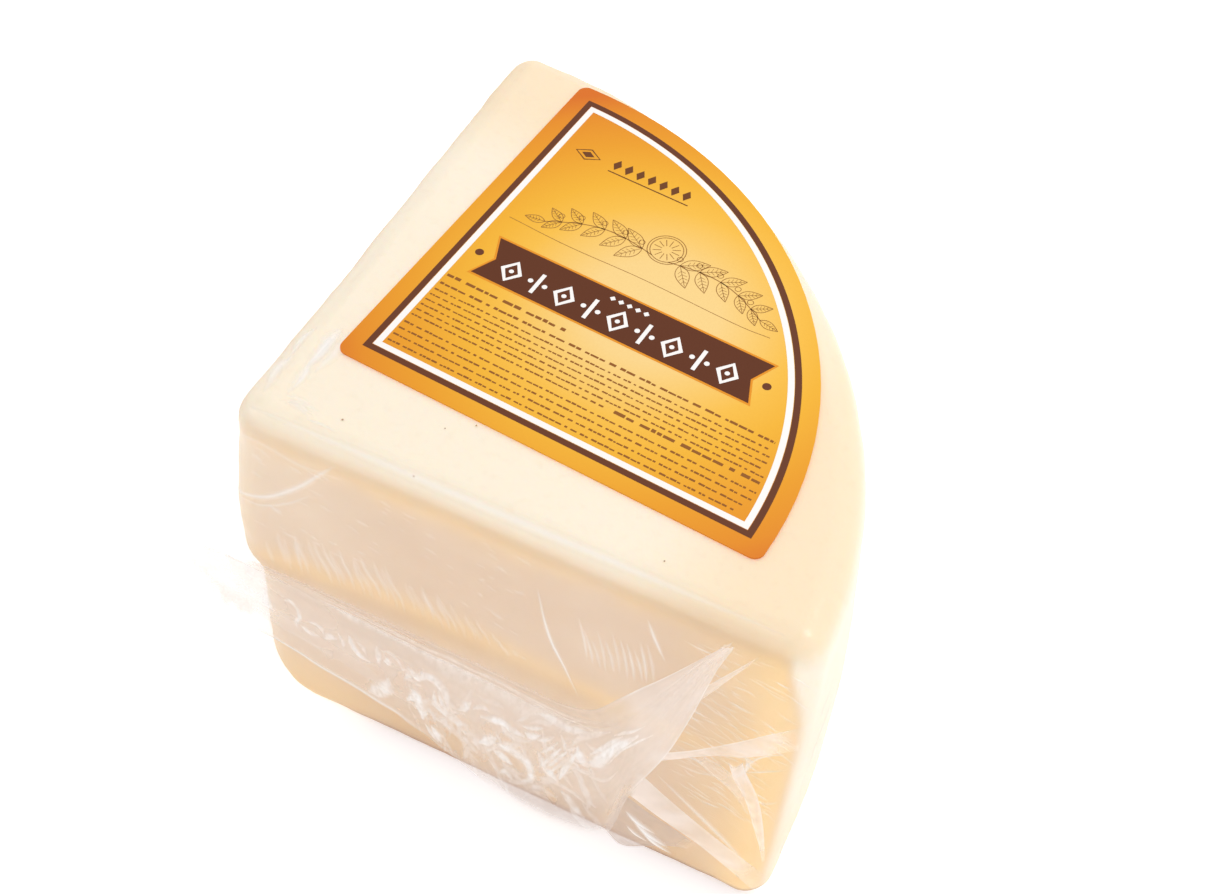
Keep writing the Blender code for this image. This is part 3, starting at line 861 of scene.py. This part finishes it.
def veil(name, material, first, second, haze, seed, *nodes, belly=0.8, rim=0.3, shade=0.0):
    """A sheet of film between two lines of (x, y, z) points, brighter along both; shade greys it."""
    rows, columns = 110, 26
    first, second = smooth_path(first, rows), smooth_path(second, rows)
    share = np.linspace(0, 1, columns)
    grid = first[:, None] * (1 - share[None, :, None]) + second[:, None] * share[None, :, None]
    flat = grid[..., [0, 2]].reshape(-1, 2)
    bulge = np.sin(math.pi * share)[None]
    wave = fractal(flat * (1.0, 0.5), 4.5, seed, 2).reshape(rows, columns)
    grid[..., 1] -= belly * bulge + 0.22 * wave * bulge
    grid[..., 2] = np.maximum(grid[..., 2], 0.3)
    cloud = fractal(flat * (0.5, 1.0), 3.5, seed + 5, 2).reshape(rows, columns)
    near_rim = np.minimum(share, 1 - share)[None] * np.linalg.norm(first - second, axis=1)[:, None]
    milk = haze * (0.85 + 0.3 * cloud) + rim * bell(near_rim, 0, 0.35)
    row = np.arange(rows)
    ends = smooth_rise(np.minimum(row / 8, row[::-1] / 24))[:, None]
    values = {"haze": np.clip(milk * ends, 0, 0.95), "shade": np.full((rows, columns), shade)}
    return film_sheet(name, grid, values, material, *nodes)


def make_pleats(material):
    """The forked fold near the right corner, the folds beside it, and the film gathered at the foot."""
    veil("film_fold_upper", material,
         [(97.4, -2.5, 49.5), (106, -2.4, 57.7), (114.6, -2.2, 67.5), (120.1, -1.6, 73.8),
          (126.4, -0.9, 80.5)],
         [(97.6, -0.8, 43.5), (105.8, -0.8, 52.4), (112.2, -0.8, 58.1), (117, -0.8, 61.5), (126.6, -0.8, 72)],
         0.70, 61, "film_pleat_upper")
    veil("film_fold_lower", material,
         [(113.8, -1.2, 57.5), (115.5, -2, 54), (118.8, -2, 47.8), (121.8, -1.6, 37.6), (125, -0.6, 25)],
         [(116.5, -1.2, 60), (117.6, -1.6, 57.5), (121, -1.4, 49.8), (123.4, -1, 39.2), (125.4, -0.4, 25)],
         0.74, 67, "film_pleat_lower")
    veil("film_fold_left_leg", material,
         [(105.8, -0.8, 52.8), (110.9, -0.9, 49.7), (116, -0.9, 45.8), (119.6, -0.6, 40)],
         [(108.2, -0.6, 54.8), (112.6, -0.7, 54), (116.2, -0.8, 51.4), (120.2, -0.6, 44.5)],
         0.38, 71, rim=0.18)
    veil("film_fold_high", material,
         [(104.5, -1.8, 77), (108, -1.4, 83.5), (111.4, -1.0, 89.5), (115.6, -0.5, 97)],
         [(103.2, -1.4, 68), (106.3, -1.0, 75.5), (109.6, -0.7, 82.8), (115.4, -0.4, 96.4)],
         0.50, 73, belly=0.4)
    # The broad band that runs down to the foot of the corner, and the apron below it, greyed by painted shade.
    veil("film_band", material,
         [(95.5, -3.4, 43), (104.1, -3.4, 36.7), (114.7, -2.6, 28.5), (126.6, -0.9, 19.0)],
         [(94.8, -5.2, 35.4), (102.7, -5.0, 31.0), (112.5, -3.6, 24.0), (124.8, -1.4, 11.5)],
         0.86, 79, belly=0.6, rim=0.1)
    veil("film_apron", material,
         [(93.6, -5.6, 35.5), (99.5, -5.4, 32), (105.5, -4.6, 28.4), (111, -4.0, 25)],
         [(90, -4.4, 15), (94.2, -3.0, 7.8), (100, -2.8, 12.0), (107.5, -2.6, 19)],
         0.66, 83, "film_flap", belly=1.0, rim=0.25, shade=1.0)


def apron_point(x, z):
    """A point just in front of the apron and the direction off it."""
    return np.array([x, -6.6 + 0.10 * (x - 92), z]), np.array([0.0, -1.0, 0.0])


def make_fold_glints(material):
    """Painted glints on the folds' creases, and where the apron buckles under the band."""
    glints = Strips(0.8)
    for stations, width, height, haze in (
            ([(116.5, 56), (120, 63.5), (124.6, 68)], 1.0, 0.5, 0.6),
            ([(116.6, 54), (120.3, 57.7), (125.0, 62)], 0.7, 0.4, 0.45),
            ([(113.4, 56), (115.8, 53.5), (117.6, 58.5), (116.4, 61.5)], 2.0, 1.4, 0.8),
            ([(119.6, 46), (122.5, 46.5), (125.2, 49)], 0.7, 0.3, 0.4),
            ([(102.5, 45.8), (108, 46.6), (113, 49.6)], 0.7, 0.3, 0.3),
            ([(99, 38), (108, 31), (116, 24.5), (122, 18.5)], 2.2, 0.1, 0.5)):
        glints.add(front_point, stations, width, height, haze)
    glints.build("film_fold_glints", material)
    buckle = Strips(0.95)
    for x, z, run, width in ((95.5, 30, 7, 2.6), (97.5, 27, 8, 3.2), (99.5, 24, 7, 2.4), (96, 24, 5, 1.6)):
        stations = [(x, z), (x + run * 0.4, z - run * 0.45), (x + run, z - run * 0.8)]
        buckle.add(apron_point, stations, width, 0.3, 1.0, 16)
    buckle.build("film_apron_glints", material)


# ---- the label

def turned(angle):
    """The matrix that turns rows of flat points by an angle."""
    return np.array([[math.cos(angle), math.sin(angle)], [-math.sin(angle), math.cos(angle)]])


def circle(u, v, radius, steps):
    """Points round a circle."""
    angles = np.linspace(0, 2 * math.pi, steps, endpoint=False)
    return np.column_stack((u + radius * np.cos(angles), v + radius * np.sin(angles)))


def label_to_design(points):
    """Label millimetres (u along its front side, v along its left side) to the design frame's x and y."""
    return np.asarray(points, float) @ turned(LABEL_TURN) + LABEL_POINT


class Ink:
    """Flat printed shapes of one colour, joined in one thin mesh over the label."""

    def __init__(self, level):
        self.level = LABEL_TOP + level
        self.points, self.faces = [], []

    def polygon(self, corners):
        """A filled outline."""
        start = len(self.points)
        self.points.extend(label_to_design(corners).tolist())
        self.faces.append(tuple(range(start, start + len(corners))))

    def band(self, outer, inner, closed=True):
        """The strip between two outlines of equally many points."""
        count = len(outer)
        start = len(self.points)
        self.points.extend(label_to_design(outer).tolist())
        self.points.extend(label_to_design(inner).tolist())
        for i in range(count if closed else count - 1):
            j = (i + 1) % count
            self.faces.append((start + i, start + j, start + count + j, start + count + i))

    def stroke(self, path, width):
        """A pen line of even width along a path."""
        path = np.asarray(path, float)
        forward = np.gradient(path, axis=0)
        forward /= np.maximum(np.linalg.norm(forward, axis=1, keepdims=True), 1e-9)
        side = np.column_stack((-forward[:, 1], forward[:, 0])) * width / 2
        self.band(path + side, path - side, closed=False)

    def box(self, u, v, width, height):
        """An upright rectangle from its lower left corner."""
        self.polygon([(u, v), (u + width, v), (u + width, v + height), (u, v + height)])

    def disc(self, u, v, radius, steps=20):
        """A filled circle."""
        self.polygon(circle(u, v, radius, steps))

    def ring(self, u, v, radius, width, steps):
        """A circle's outline."""
        self.band(circle(u, v, radius + width / 2, steps), circle(u, v, radius - width / 2, steps))

    def lozenge(self, u, v, half_width, half_height, line=None):
        """A diamond, filled or as an outline."""
        spot = np.array([(1, 0), (0, 1), (-1, 0), (0, -1)], float)
        outer = (u, v) + spot * (half_width, half_height)
        if line is None:
            self.polygon(outer)
        else:
            inset = line * 1.35
            self.band(outer, (u, v) + spot * (half_width - inset, half_height - inset))

    def build(self, name, material):
        """The joined mesh, just over the paper."""
        flat = np.array(self.points)
        points = np.column_stack((flat, np.full(len(flat), self.level)))
        return place(new_mesh(name, points, self.faces, smooth=False), material, "label_paper")


def sector_line(inset, steps=72):
    """The label's printed outline, moved in by inset."""
    radius = LABEL_RADIUS - inset
    far = math.sqrt(radius ** 2 - inset ** 2)
    start = math.atan2(inset, far)
    angles = np.linspace(start, math.pi / 2 - start, steps)
    return np.vstack(([(inset, inset)], np.column_stack((radius * np.cos(angles), radius * np.sin(angles)))))


def ribbon_outline(grow):
    """The swallow-tailed ribbon, grown on all sides."""
    left, right, low, high, notch = 6.9, 72.4, 29.0, 40.6, 2.5
    middle = (low + high) / 2
    return [
        (left - grow * 1.3, low - grow), (right + grow * 1.3, low - grow), (right - notch + grow, middle),
        (right + grow * 1.3, high + grow), (left - grow * 1.3, high + grow), (left + notch - grow, middle),
    ]


def small_print(ink, rng, left, right, base, height):
    """A line of greeked fine print: plain bars in word-long groups, with no letter shapes."""
    u = left
    while u < right - height:
        for _ in range(rng.randint(1, 4)):
            run = min(height * rng.uniform(0.45, 1.25), right - u)
            if run > 0.1:
                ink.box(u, base + 0.18 * height, run, height * rng.uniform(0.28, 0.42))
            u += run + 0.17 * height
        u += 0.5 * height


def leaf(ink, u, v, length, turn):
    """A pointed leaf in outline with a midrib and a few hatching lines."""
    pen = 0.16

    def stroke(points, width):
        ink.stroke(np.array(points) * length @ turned(turn) + (u, v), width)

    t = np.linspace(0, 1, 14)
    for sign in (1, -1):
        stroke(np.column_stack((t, sign * 0.23 * np.sin(math.pi * t ** 0.8))), pen)
    stroke([(0, 0), (0.5, 0), (0.92, 0)], pen * 0.8)
    for s in (0.25, 0.4, 0.55, 0.7):
        rib = 0.15 * math.sin(math.pi * s ** 0.8)
        for sign in (1, -1):
            stroke([(s, 0), (s + 0.1, sign * rib)], pen * 0.6)


def sprig(ink, start, end, bow, leaves, size):
    """A stem with paired leaves and little round buds."""
    start, end = np.asarray(start, float), np.asarray(end, float)
    along = end - start
    side = np.array([-along[1], along[0]]) / np.linalg.norm(along)
    t = np.linspace(0, 1, 30)
    stem = start + t[:, None] * along + (np.sin(math.pi * t) * bow)[:, None] * side
    ink.stroke(stem, 0.22)
    heading = math.atan2(along[1], along[0])
    for i in range(leaves):
        spot = stem[int((i + 0.6) / leaves * 28)]
        for sign in (1, -1):
            leaf(ink, spot[0], spot[1], size * (1 - 0.35 * i / leaves), heading + sign * 0.75)
        ink.ring(spot[0] - 0.9, spot[1] + 1.6, 0.65, 0.15, 14)
    leaf(ink, stem[-1][0], stem[-1][1], size * 0.7, heading)


def make_label():
    """The printed label: gradient ground, lines, ribbon, a plain ornament and greeked small print."""
    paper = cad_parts["label"]
    paper.data.materials.clear()
    paper.data.materials.append(label_material())
    # Paper this thin throws no shadow that the photo shows.
    paper.visible_shadow = False
    white_ink = print_material("ink_white", 250, 246, 243)

    # The lines round the edge, and a dot beside each end of the ribbon.
    brown, white = Ink(INK_LEVEL), Ink(INK_LEVEL)
    brown.band(sector_line(0.0), sector_line(1.4))
    brown.disc(5.4, 34.7, 0.95)
    brown.disc(73.5, 34.9, 0.95)
    brown.build("print_brown_line", print_material("ink_brown", 106, 60, 38))
    white.band(sector_line(1.5), sector_line(2.85))
    white.build("print_white_line", white_ink)

    # The ribbon, with lozenges and dotted bars in a row and small lozenges above them.
    outline, ribbon, ornament = Ink(INK_LEVEL), Ink(RIBBON_LEVEL), Ink(ORNAMENT_LEVEL)
    outline.polygon(ribbon_outline(0.5))
    outline.build("print_ribbon_edge", print_material("ink_orange", 232, 148, 38))
    ribbon.polygon(ribbon_outline(0.0))
    ribbon.build("print_ribbon", print_material("ink_dark", 98, 52, 30))
    middle = 33.6
    for i in range(9):
        u = 14.0 + i * 6.4
        if i % 2 == 0:
            ornament.lozenge(u, middle, 2.6, 3.3, 0.75)
            ornament.disc(u, middle, 0.55, 12)
        else:
            ornament.box(u - 0.45, middle - 3, 0.9, 6.0)
            for side in (-1.7, 1.7):
                ornament.disc(u + side, middle, 0.6, 12)
    for i in range(5):
        ornament.lozenge(35.6 + i * 2.0, 38.6, 0.7, 0.7)
    ornament.build("print_ribbon_ornament", white_ink)

    # The small print, from the top line down.
    rng = random.Random(21)
    text = Ink(INK_LEVEL)
    lines = [(3.4, 35.0, 24.9, 2.0), (3.4, 81.6, 22.4, 1.55)]
    lines += [(3.4, 82.0 + 0.4 * i, 20.5 - 1.68 * i, 1.05) for i in range(5)]
    lines += [(3.4, 49.5, 12.1, 1.05), (51.2, 84.2, 11.8, 2.1)]
    lines += [(3.3, 84.2, 9.6 - 1.95 * i, 1.15) for i in range(4)]
    for line in lines:
        small_print(text, rng, *line)
    text.build("print_small_lines", print_material("ink_sepia", 148, 92, 40))

    # Two sprigs and a medallion between them, over a ground line.
    art = Ink(INK_LEVEL)
    sprig(art, (36, 54), (12, 50), -3.0, 5, 6.5)
    sprig(art, (40, 54), (64, 50), 3.0, 5, 6.5)
    for radius in (4.2, 3.6):
        art.ring(38, 57, radius, 0.18, 40)
    for inner, outer in zip(circle(38, 57, 1.2, 12), circle(38, 57, 3.0, 12)):
        art.stroke([inner, outer], 0.16)
    art.stroke(smooth_path([(5, 47), (20, 46.4), (38, 46.8), (60, 46.3), (68, 46.8)], 24), 0.14)
    art.build("print_ornament", print_material("ink_line", 160, 110, 55))

    # A plain mark where the maker's stood.
    crest = Ink(INK_LEVEL)
    crest.lozenge(9.0, 73.0, 3.2, 1.9, 0.25)
    crest.lozenge(9.0, 73.0, 1.6, 0.95)
    for i in range(7):
        crest.lozenge(16.2 + i * 2.9, 73.6, 1.0, 1.7)
    crest.box(15.2, 70.9, 20.0, 0.3)
    crest.build("print_small_ornament", print_material("ink_crest", 112, 66, 34))


# ---- specks, floor, lights, camera

def make_specks():
    """A few dark specks on the cream top: place and radius."""
    spots = ((22.5, 9.0, 0.22), (41.5, 3.4, 0.17), (46.0, 20.0, 0.19),
             (41.0, 16.5, 0.15), (92.0, 8.0, 0.18), (30.0, 24.0, 0.14))
    corners = 10
    points, faces = [], []
    for x, y, radius in spots:
        faces.append(tuple(range(len(points), len(points) + corners)))
        for i in range(corners):
            angle = i * 2 * math.pi / corners
            wobble = radius * (1 + 0.25 * math.sin(3 * angle + x))
            points.append((x + wobble * math.cos(angle), y + wobble * math.sin(angle), HEIGHT + 0.27))
    obj = new_mesh("specks", points, faces, smooth=False)
    return place(obj, print_material("speck", 178, 144, 116), "cheese")


def make_stage():
    """A plain white floor."""
    size = 3.0
    corners = [(-size, -size, 0), (size, -size, 0), (size, size, 0), (-size, size, 0)]
    mesh = bpy.data.meshes.new("floor")
    mesh.from_pydata(corners, [], [(0, 1, 2, 3)])
    floor = bpy.data.objects.new("floor", mesh)
    bpy.context.scene.collection.objects.link(floor)
    tree = Tree("floor_white")
    diffuse = tree.shader("BsdfDiffuse", {"Color": (0.925, 0.93, 0.955, 1)})
    glow = tree.shader("Emission", {"Color": (1, 1, 1, 1), "Strength": 0.48})
    mesh.materials.append(tree.output(tree.shader("AddShader", {0: diffuse, 1: glow})))


def area_light(name, spot, target, size, power, mirrored_only=False):
    """A square softbox aimed at a point; one that is only mirrored lights nothing else."""
    light = bpy.data.lights.new(name, "AREA")
    light.size = size
    light.energy = power
    obj = bpy.data.objects.new(name, light)
    obj.location = spot
    obj.rotation_euler = (Vector(target) - Vector(spot)).to_track_quat("-Z", "Y").to_euler()
    obj.visible_diffuse = not mirrored_only
    obj.visible_camera = False
    bpy.context.scene.collection.objects.link(obj)


def make_lights():
    """High-key light: a bright room, a softbox overhead, a weak one in front, and panels for glints."""
    world = bpy.data.worlds.new("studio")
    world.use_nodes = True
    background = world.node_tree.nodes["Background"]
    background.inputs["Color"].default_value = (1, 1, 1, 1)
    background.inputs["Strength"].default_value = 0.74
    bpy.context.scene.world = world
    middle = (0, 0, 0.05)
    area_light("softbox_top", (0.3, 0.3, 0.9), middle, 0.3, 3.15)
    area_light("softbox_front", (-0.3, -0.85, 0.45), middle, 0.6, 0.42)
    area_light("panel_front", (-0.15, -0.85, 0.5), middle, 0.5, 2.4, mirrored_only=True)
    area_light("panel_right", (0.8, -0.35, 0.35), middle, 0.4, 1.6, mirrored_only=True)
    area_light("panel_left", (-0.75, -0.3, 0.6), middle, 0.3, 1.0, mirrored_only=True)
    bpy.context.scene.view_settings.view_transform = "Standard"


def make_camera():
    """The photograph's viewpoint: to the right of the front face, looking down by about 51 degrees."""
    heading, pitch, roll = math.radians(-22.26), math.radians(51.23), math.radians(4.72)
    turn = (Matrix.Rotation(-heading, 4, "Z") @ Matrix.Rotation(math.pi / 2 - pitch, 4, "X")
            @ Matrix.Rotation(roll, 4, "Z"))
    middle = Vector(to_part([57.15, 57.15, 53.3]))
    aside, above, distance = 1.6, 3.7, 425.2
    camera = bpy.data.cameras.new("camera")
    camera.lens = 56.35
    camera.sensor_width = 36.0
    camera.clip_start = 0.01
    camera.clip_end = 50.0
    obj = bpy.data.objects.new("camera", camera)
    obj.matrix_world = (Matrix.Translation(middle) @ turn
                        @ Matrix.Translation(Vector((aside, above, distance)) * MM))
    bpy.context.scene.collection.objects.link(obj)
    bpy.context.scene.camera = obj


make_camera()
make_stage()
make_lights()
make_cheese()
skin_film = film_material("film_tight", 0.25, 0.05, 0.16, 0.00003)
loose_film = film_material("film_loose", 0.9, 0.10, 0.25, 0.00001)
make_skin(skin_film)
make_wrinkles(film_material("film_creased", 0.5, 0.05, 0.2, 0.00003))
make_seam(loose_film)
make_pleats(loose_film)
make_fold_glints(loose_film)
make_label()
make_specks()
